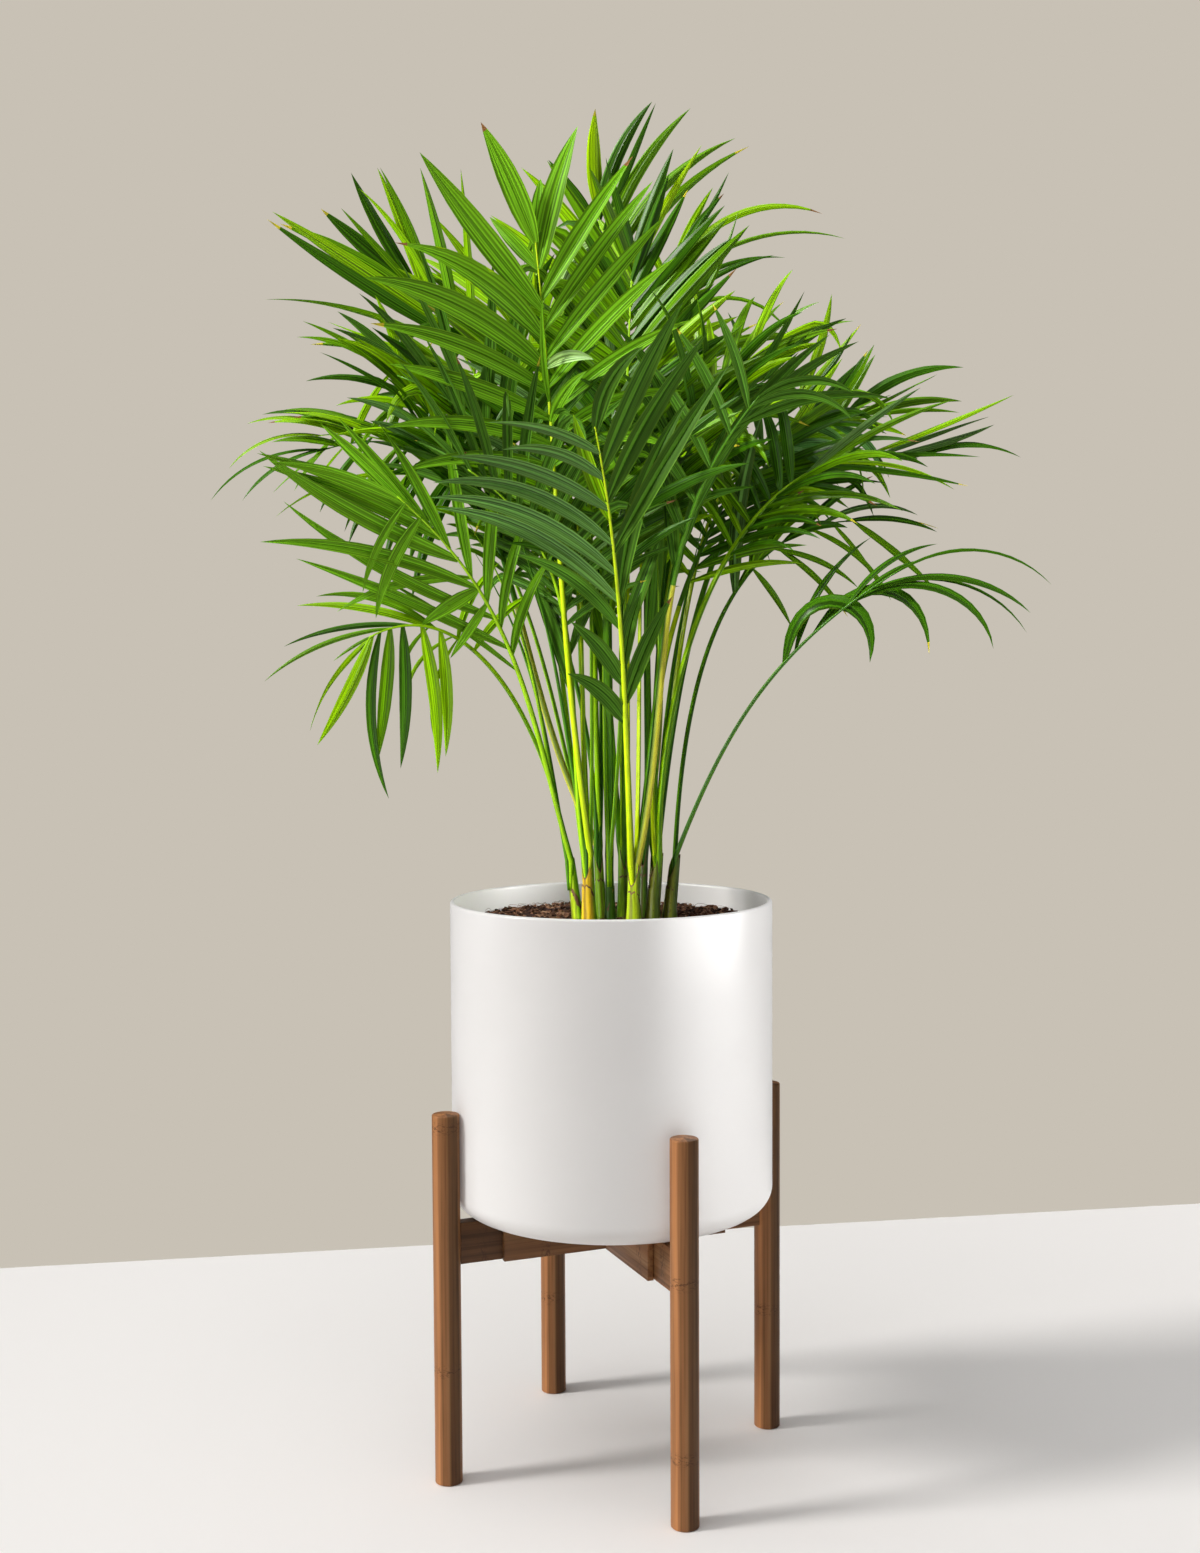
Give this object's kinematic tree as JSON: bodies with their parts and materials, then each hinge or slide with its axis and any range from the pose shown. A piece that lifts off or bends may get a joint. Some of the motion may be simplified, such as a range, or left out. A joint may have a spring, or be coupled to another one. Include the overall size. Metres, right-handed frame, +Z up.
{
  "type": "potted areca palm",
  "caption": "Potted areca palm: a clump of slim canes with arching feather fronds, in a plain white cylinder pot that rests on the crossed rails of a round-legged wooden stand.",
  "frame": {"origin": "on the floor, under the middle of the whole plant's box, crown included", "axes": "+Z up along the plant's height, -Y towards the side that the picture shows, +X to that view's right"},
  "size_m": [0.7802, 0.6528, 1.3195],
  "materials": {
    "pot": "satin",
    "soil": "matte",
    "stand_wood": "satin",
    "cane": "satin",
    "leaf": "satin"
  },
  "bodies": {
    "root": {"pot": "pot", "soil": "soil", "sleeve_front_back": "stand_wood", "sleeve_left_right": "stand_wood", "leg_front": "stand_wood", "leg_right": "stand_wood", "leg_back": "stand_wood", "leg_left": "stand_wood", "slide_front": "stand_wood", "slide_right": "stand_wood", "slide_back": "stand_wood", "slide_left": "stand_wood", "cane_01": "cane", "cane_02": "cane", "cane_03": "cane", "cane_04": "cane", "cane_05": "cane", "cane_06": "cane", "cane_07": "cane", "cane_08": "cane", "cane_09": "cane", "cane_10": "cane", "cane_11": "cane", "cane_12": "cane", "frond_01": "leaf", "frond_02": "leaf", "frond_03": "leaf", "frond_04": "leaf", "frond_05": "leaf", "frond_06": "leaf", "frond_07": "leaf", "frond_08": "leaf", "frond_09": "leaf", "frond_10": "leaf", "frond_11": "leaf", "frond_12": "leaf", "frond_13": "leaf", "frond_14": "leaf", "frond_15": "leaf", "frond_16": "leaf", "frond_17": "leaf", "frond_18": "leaf", "frond_19": "leaf", "frond_20": "leaf", "frond_21": "leaf", "frond_22": "leaf", "frond_23": "leaf", "frond_24": "leaf", "frond_25": "leaf", "frond_26": "leaf"}
  },
  "joints": []
}
